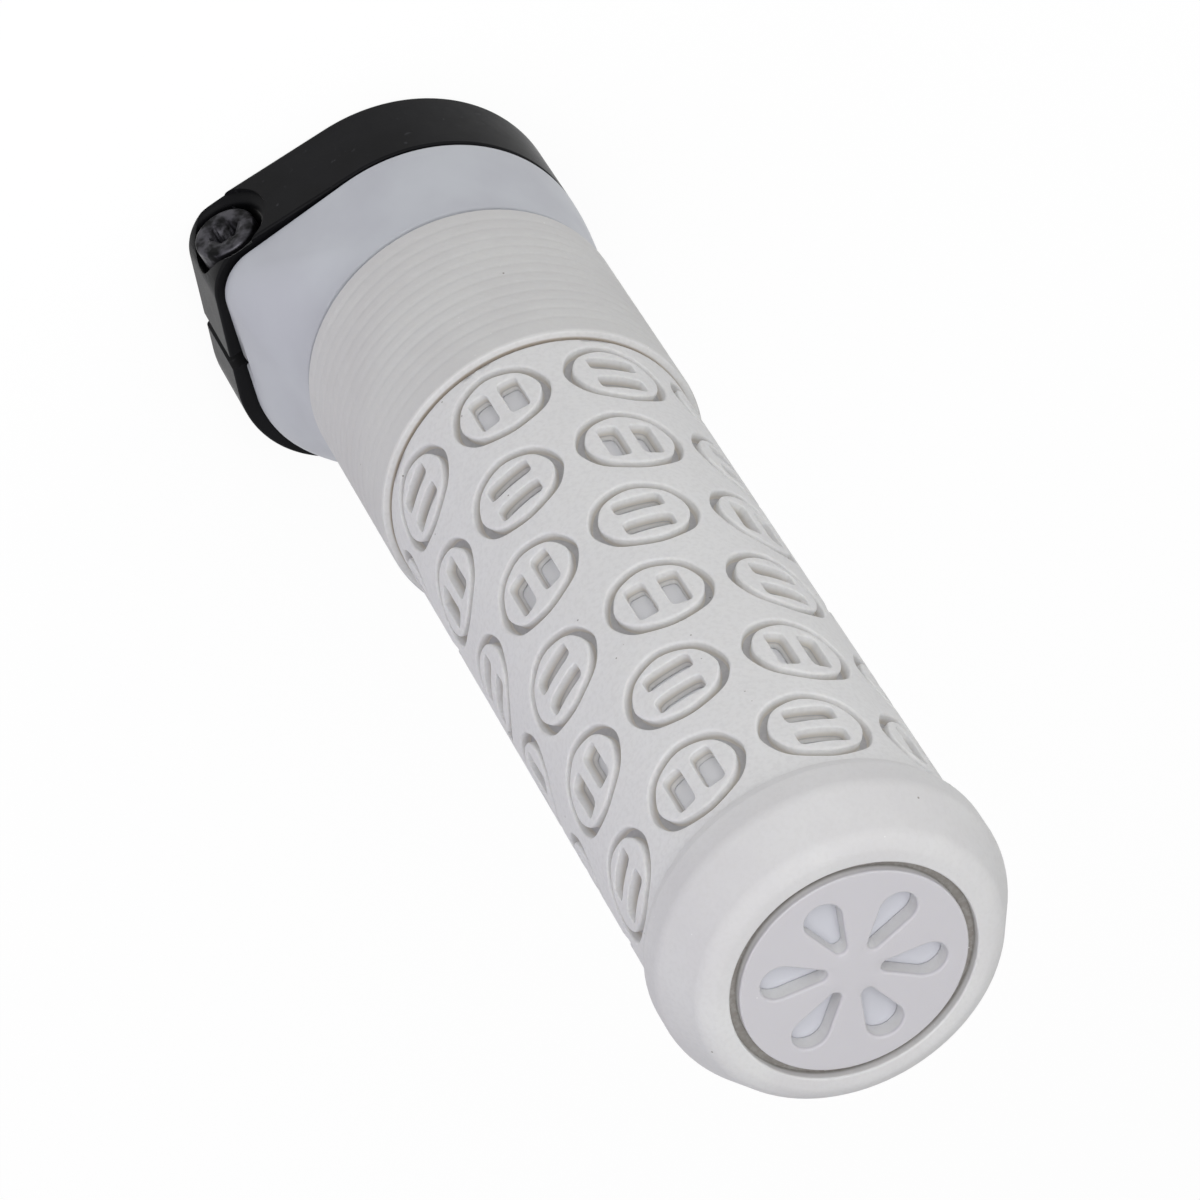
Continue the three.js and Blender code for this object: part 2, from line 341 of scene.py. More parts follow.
class Value:
    """A number socket whose arithmetic adds Math nodes."""

    def __init__(self, graph: "ShaderGraph", socket: bpy.types.NodeSocket) -> None:
        """Keeps the socket and the graph that it belongs to."""
        self.graph = graph
        self.socket = socket

    def _math(self, operation: str, *terms: "Value | float") -> "Value":
        """Adds one Math node.

        Args:
            operation: what it works out.
            terms: its inputs, in order.

        Returns:
            Its result.
        """
        sockets = dict(enumerate(terms))
        node = self.graph.add("ShaderNodeMath", {"operation": operation}, sockets)
        return Value(self.graph, node.outputs[0])

    def __add__(self, other: "Value | float") -> "Value":
        """Sum."""
        return self._math("ADD", self, other)

    __radd__ = __add__

    def __sub__(self, other: "Value | float") -> "Value":
        """Difference."""
        return self._math("SUBTRACT", self, other)

    def __rsub__(self, other: "Value | float") -> "Value":
        """Difference from a number."""
        return self._math("SUBTRACT", other, self)

    def __mul__(self, other: "Value | float") -> "Value":
        """Product."""
        return self._math("MULTIPLY", self, other)

    __rmul__ = __mul__

    def __truediv__(self, other: "Value | float") -> "Value":
        """Quotient."""
        return self._math("DIVIDE", self, other)

    def __rtruediv__(self, other: "Value | float") -> "Value":
        """Number divided by this."""
        return self._math("DIVIDE", other, self)

    def root(self) -> "Value":
        """Square root."""
        return self._math("SQRT", self)

    def sine(self) -> "Value":
        """Sine of an angle in radians."""
        return self._math("SINE", self)

    def most(self, other: "Value | float") -> "Value":
        """Larger of the two."""
        return self._math("MAXIMUM", self, other)

    def ramp(self, low: float, high: float) -> "Value":
        """Goes smoothly from 0 to 1.

        Args:
            low: where it is 0.
            high: where it is 1, which may lie below the first.

        Returns:
            The mask.
        """
        settings = {"interpolation_type": "SMOOTHSTEP"}
        sockets = {0: self, 1: min(low, high), 2: max(low, high)}
        node = self.graph.add("ShaderNodeMapRange", settings, sockets)
        rise = Value(self.graph, node.outputs[0])
        return rise if low < high else 1 - rise

    def fade(self, line: float, span: Span) -> "Value":
        """Goes from 0 to 1 between the two distances from a line that a span gives."""
        return self.ramp(line + span[0], line + span[1])


class ShaderGraph:
    """The node tree of one material or of the world."""

    def __init__(self, owner: bpy.types.Material | bpy.types.World, output: str) -> None:
        """Empties the owner's tree and adds its output node."""
        owner.use_nodes = True
        self.owner = owner
        self.tree = owner.node_tree
        self.tree.nodes.clear()
        self.output = self.add(output)

    @classmethod
    def of_material(cls, name: str) -> "ShaderGraph":
        """Starts the graph of a new material."""
        return cls(bpy.data.materials.new(name), "ShaderNodeOutputMaterial")

    @classmethod
    def of_world(cls, name: str) -> "ShaderGraph":
        """Starts the graph of a new world."""
        return cls(bpy.data.worlds.new(name), "ShaderNodeOutputWorld")

    def add(
        self,
        kind: str,
        settings: Mapping[str, Any] | None = None,
        sockets: Mapping[str | int, Any] | None = None,
    ) -> bpy.types.Node:
        """Adds any node.

        Args:
            kind: the node's type.
            settings: its properties, set before the sockets.
            sockets: a number, colour, Value or socket for each input, by name or place.

        Returns:
            The node.
        """
        node = self.tree.nodes.new(kind)
        for key, value in (settings or {}).items():
            setattr(node, key, value)
        for key, value in (sockets or {}).items():
            target = node.inputs[key]
            source = value.socket if isinstance(value, Value) else value
            if isinstance(source, bpy.types.NodeSocket):
                self.tree.links.new(source, target)
            else:
                target.default_value = source
        return node

    def place(self) -> tuple[bpy.types.NodeSocket, Value, Value, Value]:
        """Gives the surface point in the object's own axes.

        Returns:
            The point, and its three parts in metres.
        """
        point = self.add("ShaderNodeTexCoord").outputs["Object"]
        parts = self.add("ShaderNodeSeparateXYZ", None, {0: point}).outputs
        return point, Value(self, parts[0]), Value(self, parts[1]), Value(self, parts[2])

    def noise(self, point: bpy.types.NodeSocket, size: float, detail: float = 2.0) -> Value:
        """Gives a cloud of grey.

        Args:
            point: where on the surface.
            size: about how large its lumps are, in millimetres.
            detail: how many finer clouds are added to it.

        Returns:
            The grey, between 0 and 1.
        """
        sockets = {"Vector": point, "Scale": 1 / (size * MILLIMETRE), "Detail": detail}
        return Value(self, self.add("ShaderNodeTexNoise", None, sockets).outputs["Fac"])

    def specks(
        self, point: bpy.types.NodeSocket, space: float, size: float, share: float
    ) -> Value:
        """Gives 1 on scattered round specks and 0 between them.

        Args:
            point: where on the surface.
            space: mean space between the points that can carry a speck, in millimetres.
            size: a speck's radius as a share of that space.
            share: how many of the points carry one.

        Returns:
            The mask.
        """
        sockets = {"Vector": point, "Scale": 1 / (space * MILLIMETRE)}
        node = self.add("ShaderNodeTexVoronoi", None, sockets)
        parts = self.add("ShaderNodeSeparateColor", None, {0: node.outputs["Color"]})
        distance = Value(self, node.outputs["Distance"])
        chance = Value(self, parts.outputs[0])
        return distance.ramp(size, size / 2) * chance.ramp(share, share - CHANCE_EDGE)

    def mix(self, share: Value, first: Any, second: Any) -> bpy.types.NodeSocket:
        """Mixes two colours: the first where the share is 0 and the second where it is 1."""
        sockets = {0: share, 6: first, 7: second}
        return self.add("ShaderNodeMix", {"data_type": "RGBA"}, sockets).outputs[2]

    def bump(self, height: Value, depth: float) -> bpy.types.NodeSocket:
        """Gives a normal bent by a height of 0 to 1 that stands for a depth in millimetres."""
        sockets = {"Height": height, "Distance": depth * MILLIMETRE, "Strength": 1.0}
        return self.add("ShaderNodeBump", None, sockets).outputs[0]

    def seen(self) -> Value:
        """Tells which rays show a thing to the eye and which only light the object.

        Returns:
            1 for rays that come from the camera, a reflection or through glass, and 0 for others.
        """
        path = self.add("ShaderNodeLightPath")
        camera, glossy, through = (
            Value(self, path.outputs[name])
            for name in ("Is Camera Ray", "Is Glossy Ray", "Is Transmission Ray")
        )
        return camera.most(glossy).most(through)

    def glow(self, kind: str, strength: float) -> bpy.types.NodeSocket:
        """Gives a white shader of a kind that has a colour and a strength."""
        return self.add(kind, None, {0: (1.0, 1.0, 1.0, 1.0), 1: strength}).outputs[0]

    def blend(self, share: Value, first: Any, second: Any) -> bpy.types.NodeSocket:
        """Mixes two shaders: the first where the share is 0 and the second where it is 1."""
        return self.add("ShaderNodeMixShader", None, {0: share, 1: first, 2: second}).outputs[0]

    def to_surface(self, shader: bpy.types.NodeSocket) -> None:
        """Sends a shader to the output's surface."""
        self.tree.links.new(shader, self.output.inputs["Surface"])

    def finish(self, sockets: Mapping[str | int, Any]) -> bpy.types.Material:
        """Sends a Principled shader with these sockets to the surface."""
        self.to_surface(self.add("ShaderNodeBsdfPrincipled", None, sockets).outputs[0])
        return self.owner


# Finishes


@dataclass(frozen=True)
class MouldedRubber:
    """Matt off-white rubber: faint clouds, grain, dust specks, dirt and painted shade in recesses.

    A tint's spans give how far from the floor, groove, line, disc or tread that they name the
    tint is nothing, and how far from it the tint is full.
    """

    tread_radius: float
    moat_depth: float
    tread_low: float
    tread_high: float
    groove_radius: float
    groove_floor_z: float
    end_z: float
    light: Colour = colour(217, 217, 217)
    dark: Colour = colour(210, 209, 210)
    # Painted light: the tread's rubber is painted paler than the rest of the sleeve.
    painted_tread_light: Tint = Tint(colour(228, 228, 228), 0.75)
    # Painted shade: everything below the shoulder, the ribbed end, is painted darker.
    painted_thumb_shade: Tint = Tint(colour(198, 197, 194), 0.35)
    # Partly dirt and partly painted shade: brown darkening down the walls of moats and slots.
    foot: Tint = Tint(colour(188, 178, 160), 0.65)
    # The core's grey showing through, darkened as painted shade, on the moats' floors.
    floor: Tint = Tint(colour(176, 176, 179), 0.9)
    # Painted shade: the floor of the end disc's groove painted dark.
    groove: Tint = Tint(colour(138, 133, 127), 0.9)
    # Partly dirt and partly painted shade: a brown line in the small groove at the shoulder's
    # foot.
    line: Tint = Tint(colour(158, 140, 114), 0.7)
    # Painted shade: the end disc's face painted a darker lavender grey.
    disc: Tint = Tint(colour(200, 198, 203), 0.9)
    mottle: Tint = Tint(colour(202, 201, 201), 0.25)
    dust: Tint = Tint(colour(236, 236, 235), 0.7)
    speck: Tint = Tint(colour(120, 114, 106), 0.8)
    tread_edge: float = 0.1
    foot_drop: float = 0.35
    foot_depth: float = 0.25
    foot_fade: float = 0.8
    floor_above: Span = (0.07, 0.03)
    floor_below: Span = (-0.07, -0.03)
    groove_above: Span = (0.6, 0.05)
    groove_below: Span = (-0.2, -0.1)
    groove_inside: Span = (-1.0, -0.9)
    groove_outside: Span = (1.0, 0.9)
    line_above: Span = (0.55, 0.35)
    line_below_tread: Span = (0.2, -0.1)
    disc_below_end: Span = (-0.5, -0.3)
    disc_inside_groove: Span = (0.0, -0.2)
    cloud_size: float = 14.0
    cloud_range: Span = (0.35, 0.65)
    mottle_size: float = 0.5
    mottle_range: Span = (0.4, 0.7)
    dust_space: float = 1.7
    speck_space: float = 2.6
    speck_size: float = 0.055
    speck_share: float = 0.35
    grain_size: float = 0.22
    grain_depth: float = 0.012
    rough_low: float = 0.66
    rough_spread: float = 0.14
    rough_size: float = 3.0
    soft_depth: float = 0.9

    def material(self) -> bpy.types.Material:
        """Builds the material: clouds, then tints by place, then mottle, dust and specks.

        Returns:
            The material.
        """
        graph = ShaderGraph.of_material("moulded_rubber")
        point, x, y, z = graph.place()
        radius = (x * x + y * y).root() / MILLIMETRE
        cloud = graph.noise(point, self.cloud_size, detail=4.0).ramp(*self.cloud_range)
        base = graph.mix(cloud, self.dark, self.light)
        layers = self.tints_by_place(radius, z / MILLIMETRE)
        mottle = graph.noise(point, self.mottle_size, detail=3.0).ramp(*self.mottle_range)
        layers.append((self.mottle, mottle))
        for tint, space in ((self.dust, self.dust_space), (self.speck, self.speck_space)):
            mask = graph.specks(point, space, self.speck_size, self.speck_share)
            layers.append((tint, mask))
        for tint, mask in layers:
            base = graph.mix(mask * tint.share, base, tint.colour)
        grain = graph.noise(point, self.grain_size, detail=3.0)
        unevenness = graph.noise(point, self.rough_size, detail=3.0)
        return graph.finish({
            "Base Color": base,
            "Roughness": self.rough_low + self.rough_spread * unevenness,
            "Normal": graph.bump(grain, self.grain_depth),
            "Specular IOR Level": 0.35,
            "Sheen Weight": 0.12,
            "Sheen Roughness": 0.5,
            "Subsurface Weight": 0.3,
            "Subsurface Radius": (1.0, 0.95, 0.85),
            "Subsurface Scale": self.soft_depth * MILLIMETRE,
        })

    def tints_by_place(self, radius: Value, height: Value) -> list[tuple[Tint, Value]]:
        """Tints that belong to a place on the sleeve, nearly all of them painted light or shade.

        Args:
            radius: distance from the sleeve's axis, in millimetres.
            height: height along that axis, in millimetres.

        Returns:
            Each tint with its mask, in the order in which they are laid over each other.
        """
        tread = height.ramp(self.tread_low - self.tread_edge, self.tread_low)
        tread = tread * height.ramp(self.tread_high + self.tread_edge, self.tread_high)
        # Painted shade: the thumb mask darkens the rubber below the shoulder.
        thumb = height.ramp(self.tread_low, self.tread_low - self.tread_edge)
        floor_radius = self.tread_radius - self.moat_depth
        # Partly dirt and partly painted shade: walls grow browner towards the moats' floor, less
        # so deeper down.
        deep = radius.ramp(floor_radius, floor_radius - self.foot_depth)
        foot = radius.ramp(self.tread_radius - self.foot_drop, floor_radius)
        foot = foot * (1 - self.foot_fade * deep)
        # The core's grey with painted shade: a grey band at the moats' floor.
        floor = radius.fade(floor_radius, self.floor_above)
        floor = floor * radius.fade(floor_radius, self.floor_below)
        # Painted shade: a dark band round the floor of the end disc's groove.
        groove = height.fade(self.groove_floor_z, self.groove_above)
        groove = groove * height.fade(self.groove_floor_z, self.groove_below)
        groove = groove * radius.fade(self.groove_radius, self.groove_inside)
        groove = groove * radius.fade(self.groove_radius, self.groove_outside)
        # Partly dirt and partly painted shade: a brown line in the groove at the foot of the
        # shoulder.
        line = height.fade(self.tread_low, self.line_above) * tread
        line = line * radius.fade(self.tread_radius, self.line_below_tread)
        # Painted shade: the end disc inside its groove painted darker.
        disc = height.fade(self.end_z, self.disc_below_end)
        disc = disc * radius.fade(self.groove_radius, self.disc_inside_groove)
        return [
            # Painted light: the tread painted paler.
            (self.painted_tread_light, tread),
            (self.painted_thumb_shade, thumb),
            (self.foot, foot * tread),
            (self.floor, floor * tread),
            (self.groove, groove),
            (self.line, line),
            (self.disc, disc),
        ]


@dataclass(frozen=True)
class HardPlastic:
    """Satin bluish-white plastic with painted light: paler where the rubber covers it."""

    tube_low: float
    tube_high: float
    light: Colour = colour(194, 197, 203)
    dark: Colour = colour(187, 189, 196)
    # Painted light: the plastic seen through the tread's slots is painted much paler.
    painted_slot_light: Colour = colour(232, 233, 237)
    # Painted light: the plastic under the end disc's windows painted a little paler.
    end: Colour = colour(204, 205, 212)
    change: float = 1.0
    cloud_size: float = 9.0
    cloud_range: Span = (0.3, 0.7)
    grain_size: float = 0.15
    grain_depth: float = 0.006
    rough_low: float = 0.4
    rough_spread: float = 0.12
    rough_size: float = 2.0

    def material(self) -> bpy.types.Material:
        """Builds the material.

        Returns:
            The material.
        """
        graph = ShaderGraph.of_material("hard_plastic")
        point, _, _, z = graph.place()
        cloud = graph.noise(point, self.cloud_size, detail=3.0).ramp(*self.cloud_range)
        base = graph.mix(cloud, self.dark, self.light)
        height = z / MILLIMETRE
        # Painted light: the plastic under the rubber, seen in the slots, is painted paler.
        covered = height.ramp(self.tube_low, self.tube_low + self.change)
        base = graph.mix(covered, base, self.painted_slot_light)
        # Painted light: the core's top, under the disc's windows, painted a little paler.
        at_end = height.ramp(self.tube_high - self.change, self.tube_high)
        base = graph.mix(at_end, base, self.end)
        grain = graph.noise(point, self.grain_size)
        unevenness = graph.noise(point, self.rough_size, detail=3.0)
        return graph.finish({
            "Base Color": base,
            "Roughness": self.rough_low + self.rough_spread * unevenness,
            "Normal": graph.bump(grain, self.grain_depth),
            "Specular IOR Level": 0.45,
        })


@dataclass(frozen=True)
class BlackAnodised:
    """Bead-blasted aluminium with a black anodised skin and a little bare metal in scuffs."""

    light: Colour = colour(14, 14, 17)
    dark: Colour = colour(7, 7, 9)
    scuff: Tint = Tint(colour(70, 70, 74), 0.35)
    cloud_size: float = 6.0
    cloud_range: Span = (0.35, 0.65)
    scuff_size: float = 1.1
    scuff_range: Span = (0.66, 0.74)
    grain_size: float = 0.12
    grain_depth: float = 0.01
    rough_low: float = 0.46
    rough_spread: float = 0.12
    rough_size: float = 1.5

    def material(self) -> bpy.types.Material:
        """Builds the material.

        Returns:
            The material.
        """
        graph = ShaderGraph.of_material("black_anodised")
        point, *_ = graph.place()
        cloud = graph.noise(point, self.cloud_size, detail=4.0).ramp(*self.cloud_range)
        scuff = graph.noise(point, self.scuff_size, detail=6.0).ramp(*self.scuff_range)
        base = graph.mix(cloud, self.dark, self.light)
        grain = graph.noise(point, self.grain_size)
        unevenness = graph.noise(point, self.rough_size, detail=3.0)
        return graph.finish({
            "Base Color": graph.mix(scuff * self.scuff.share, base, self.scuff.colour),
            "Roughness": self.rough_low + self.rough_spread * unevenness,
            "Normal": graph.bump(grain, self.grain_depth),
            "Specular IOR Level": 0.1,
            "Sheen Weight": 0.3,
            "Sheen Roughness": 0.2,
        })


@dataclass(frozen=True)
class WornSteel:
    """Plain bolt steel with turning marks and grime in blotches."""

    centre_y: float
    centre_z: float
    light: Colour = colour(78, 77, 82)
    dark: Colour = colour(27, 27, 28)
    grime_size: float = 1.6
    grime_range: Span = (0.36, 0.64)
    mark_turn: float = 40.0
    mark_depth: float = 0.004
    rough_low: float = 0.42
    rough_spread: float = 0.2

    def material(self) -> bpy.types.Material:
        """Builds the material.

        Returns:
            The material.
        """
        graph = ShaderGraph.of_material("worn_steel")
        point, _, y, z = graph.place()
        grime = graph.noise(point, self.grime_size, detail=3.0).ramp(*self.grime_range)
        away_y = y / MILLIMETRE - self.centre_y
        away_z = z / MILLIMETRE - self.centre_z
        radius = (away_y * away_y + away_z * away_z).root()
        turning = (radius * self.mark_turn).sine() * 0.5 + 0.5
        return graph.finish({
            "Base Color": graph.mix(grime, self.light, self.dark),
            "Metallic": 1.0,
            "Roughness": self.rough_low + self.rough_spread * grime,
            "Normal": graph.bump(turning, self.mark_depth),
        })


# Sub-assemblies


@dataclass
class Clamp:
    """Split ring with a pinch bolt across it."""

    width: float = 10.0
    ring: Lobe = Lobe(0.0, 0.0, 18.2)
    head_boss: Lobe = Lobe(11.9, 13.6, 6.2)
    thread_boss: Lobe = Lobe(-2.0, 10.5, 13.0)
    bore_radius: float = 12.3
    back_rounding: float = 0.6
    front_rounding: float = 0.3
    bore_rounding: float = 0.3
    slit_x: float = 5.5
    slit_width: float = 1.6
    bolt_y: float = 15.0
    bolt_radius: float = 2.0
    bolt_end_x: float = -11.7
    hole_radius: float = 2.25
    seat_x: float = 13.3
    seat_gap: float = 0.2
    head_radius: float = 3.5
    head_top_x: float = 17.3
    head_rounding: float = 0.45
    seat_rounding: float = 0.2
    socket_width: float = 3.0
    socket_mouth: float = 0.72
    socket_lip: float = 0.15
    socket_depth: float = 2.2
    socket_point: float = 0.4
    pocket_radius: float = 4.3
    pocket_flare: float = 1.1
    pocket_mouth_x: float = 17.6
    cut_edge: float = 0.18
    cut_edge_angle: float = 38.0
    outline_steps: int = 192
    round_steps: int = 5
    bolt_steps: int = 48

    def build(self) -> None:
        """Builds and dresses the ring and the bolt."""
        ring = self.build_ring()
        bolt = self.build_bolt()
        self.dress(ring, bolt)

    def build_ring(self) -> bpy.types.Object:
        """Builds the ring: one loop of outlines over its faces, cut by slit, pocket and hole.

        Returns:
            The ring.
        """
        angles = circle_angles(self.outline_steps)
        lobes = (self.ring, self.head_boss, self.thread_boss)
        outlines, heights = [], []
        for rounding, base, way in (
            (self.back_rounding, 0.0, 1),
            (self.front_rounding, self.width, -1),
        ):
            insets, drops = rounded_edge(rounding, self.round_steps)
            levels = base + way * drops
            outlines += [band_outline(lobes, angles, inset) for inset in insets[::way]]
            heights += list(levels[::way])
        grow, drops = rounded_edge(self.bore_rounding, self.round_steps)
        for base, way in ((self.width, -1), (0.0, 1)):
            levels = base + way * drops
            outlines += [rays(angles) * (self.bore_radius + step) for step in grow[::-way]]
            heights += list(levels[::-way])
        outlines.append(outlines[0])
        heights.append(heights[0])
        patch = Patchwork("clamp_band")
        patch.add(lift(np.stack(outlines), np.array(heights)), closed=True)
        ring = patch.sew()
        half = self.slit_width / 2
        reach = 2 * self.ring.radius
        carve(ring, box_cutter(
            (self.slit_x - half, 0, -self.width), (self.slit_x + half, reach, 2 * self.width),
        ))
        carve(ring, self.pocket_cutter())
        return ring

    def pocket_cutter(self) -> bpy.types.Object:
        """Builds the cutter for the bolt's hole and its pocket.

        The pocket's mouth flares by a quarter circle: at each turn t it is f(1 - cos t) wider, at
        a depth of f(1 - sin t).

        Returns:
            The cutter.
        """
        flare = self.pocket_flare
        turn = quarter(self.round_steps)
        reach = 2 * self.ring.radius
        mouth = np.stack([
            self.pocket_radius + flare * (1 - np.cos(turn)),
            self.pocket_mouth_x - flare + flare * np.sin(turn),
        ], axis=-1)
        floor_x = self.seat_x - self.seat_gap
        profile = np.concatenate([
            [[0, -reach], [self.hole_radius, -reach], [self.hole_radius, floor_x]],
            [[self.pocket_radius, floor_x]],
            mouth,
            [[mouth[-1, 0], reach], [0, reach]],
        ])
        patch = Patchwork("pocket")
        grid = along_x(spin(profile, circle_angles(self.bolt_steps)))
        patch.add(grid + [0, self.bolt_y, self.width / 2], closed=True)
        return patch.sew()

    def build_bolt(self) -> bpy.types.Object:
        """Builds the socket-head bolt: a spun profile that ends in a six-sided socket.

        The socket's radius towards a direction is half its width over the cosine of the angle
        from the nearest side's middle.

        Returns:
            The bolt.
        """
        angles = circle_angles(self.bolt_steps)
        edge = self.head_rounding
        outer = rounded_profile([
            (0, self.bolt_end_x, 0),
            (self.bolt_radius, self.bolt_end_x, edge),
            (self.bolt_radius, self.seat_x, self.seat_rounding),
            (self.head_radius, self.seat_x, self.seat_rounding),
            (self.head_radius, self.head_top_x, edge),
            (self.socket_width * self.socket_mouth, self.head_top_x, 0),
        ])
        sixth = math.pi / 3
        from_side = (angles + sixth / 2) % sixth - sixth / 2
        side = self.socket_width / 2 / np.cos(from_side)
        lip = self.head_top_x - self.socket_lip
        floor = self.head_top_x - self.socket_depth
        scales = np.array([1.0, 1.0, 0.0])[:, None]
        depths = np.array([lip, floor, floor - self.socket_point])[:, None]
        rows = scales * side
        socket = np.stack([
            rows * np.cos(angles),
            rows * np.sin(angles),
            np.broadcast_to(depths, rows.shape),
        ], axis=-1)
        grid = np.concatenate([spin(outer, angles), socket])
        patch = Patchwork("pinch_bolt")
        patch.add(along_x(grid) + [0, self.bolt_y, self.width / 2], closed=True)
        return patch.sew()

    def dress(self, ring: bpy.types.Object, bolt: bpy.types.Object) -> None:
        """Gives ring and bolt their edges and finishes, in place of the plain solids.

        Args:
            ring: the split ring.
            bolt: the pinch bolt.
        """
        soften = ring.modifiers.new("edges", "BEVEL")
        soften.width = self.cut_edge * MILLIMETRE
        soften.segments = 2
        soften.limit_method = "ANGLE"
        soften.angle_limit = math.radians(self.cut_edge_angle)
        settle(ring)
        even_shading(ring)
        even_shading(bolt)
        steel = WornSteel(centre_y=self.bolt_y, centre_z=self.width / 2)
        hand_over(ring, "clamp_ring", BlackAnodised().material())
        hand_over(bolt, "clamp_bolt", steel.material())


@dataclass
class Core:
    """Hard plastic core: neck in the clamp, flared collar, tube under the rubber, closed end."""

    clamp: Clamp
    bore_radius: float = 11.15
    neck_radius: float = 12.2
    tube_radius: float = 14.9
    neck_low: float = 0.5
    collar_low: float = 10.3
    collar_lip: float = 0.9
    collar_high: float = 22.6
    collar_end_radius: float = 17.35
    head_boss_step: float = 0.9
    thread_boss_step: float = 1.7
    rim_rounding: float = 0.4
    slit_depth: float = 2.0
    top: float = 132.1
    end_wall: float = 2.5
    end_rounding: float = 0.4
    bore_end_rounding: float = 0.5
    outline_steps: int = 192
    rim_steps: int = 4
    flare_steps: int = 20

    def build(self) -> None:
        """Builds the core as one loop of rings and cuts the slit."""
        angles = circle_angles(self.outline_steps)
        across = rays(angles)
        neck = np.array([
            (self.bore_radius, self.neck_low),
            (self.neck_radius, self.neck_low),
            (self.neck_radius, self.collar_low),
        ])
        tail = rounded_profile([
            (self.tube_radius, self.collar_high, 0),
            (self.tube_radius, self.top, self.end_rounding),
            (0, self.top, 0),
        ])
        bore = rounded_profile([
            (0, self.top - self.end_wall, 0),
            (self.bore_radius, self.top - self.end_wall, self.bore_end_rounding),
            (self.bore_radius, self.neck_low, 0),
        ])
        flare, heights = self.flare(angles)
        rings = [across * radius for radius in neck[:, 0]]
        rings += list(flare)
        rings += [across * radius for radius in tail[:, 0]]
        levels = np.concatenate([neck[:, 1], heights, tail[:, 1]])
        patch = Patchwork("core_moulding")
        patch.add(lift(np.stack(rings), levels), closed=True)
        patch.add(spin(bore, angles), closed=True)
        core = patch.sew()
        half = self.clamp.slit_width / 2
        reach = 2 * self.clamp.ring.radius
        low = (self.clamp.slit_x - half, 0, -self.clamp.width)
        high = (self.clamp.slit_x + half, reach, self.collar_low + self.slit_depth)
        carve(core, box_cutter(low, high))
        even_shading(core)
        finish = HardPlastic(tube_low=self.collar_high, tube_high=self.top)
        hand_over(core, "inner_core", finish.material())

    def flare(self, angles: np.ndarray) -> tuple[np.ndarray, np.ndarray]:
        """Collar's outlines from its rim to a circle.

        The rim is the clamp's band drawn in by a step at each lobe. Above a short lip it goes
        over to the circle by the share (1 - cos(pi w)) / 2 of the way w along the collar.

        Args:
            angles: directions of the outlines' normals.

        Returns:
            Outlines of shape (outlines, angles, 2), and their heights.
        """
        lobes = [
            Lobe(lobe.x, lobe.y, lobe.radius - step)
            for lobe, step in (
                (self.clamp.ring, 0.0),
                (self.clamp.head_boss, self.head_boss_step),
                (self.clamp.thread_boss, self.thread_boss_step),
            )
        ]
        insets, rises = rounded_edge(self.rim_rounding, self.rim_steps)
        rim = np.stack([band_outline(lobes, angles, inset) for inset in insets])
        rim_heights = self.collar_low + rises
        way = np.linspace(0, 1, self.flare_steps + 1)
        share = ((1 - np.cos(math.pi * way)) / 2)[:, None, None]
        drawn = rim[-1] * (1 - share) + rays(angles) * self.collar_end_radius * share
        flare_low = self.collar_low + self.collar_lip
        heights = flare_low + (self.collar_high - flare_low) * way
        return np.concatenate([rim, drawn]), np.concatenate([rim_heights, heights])


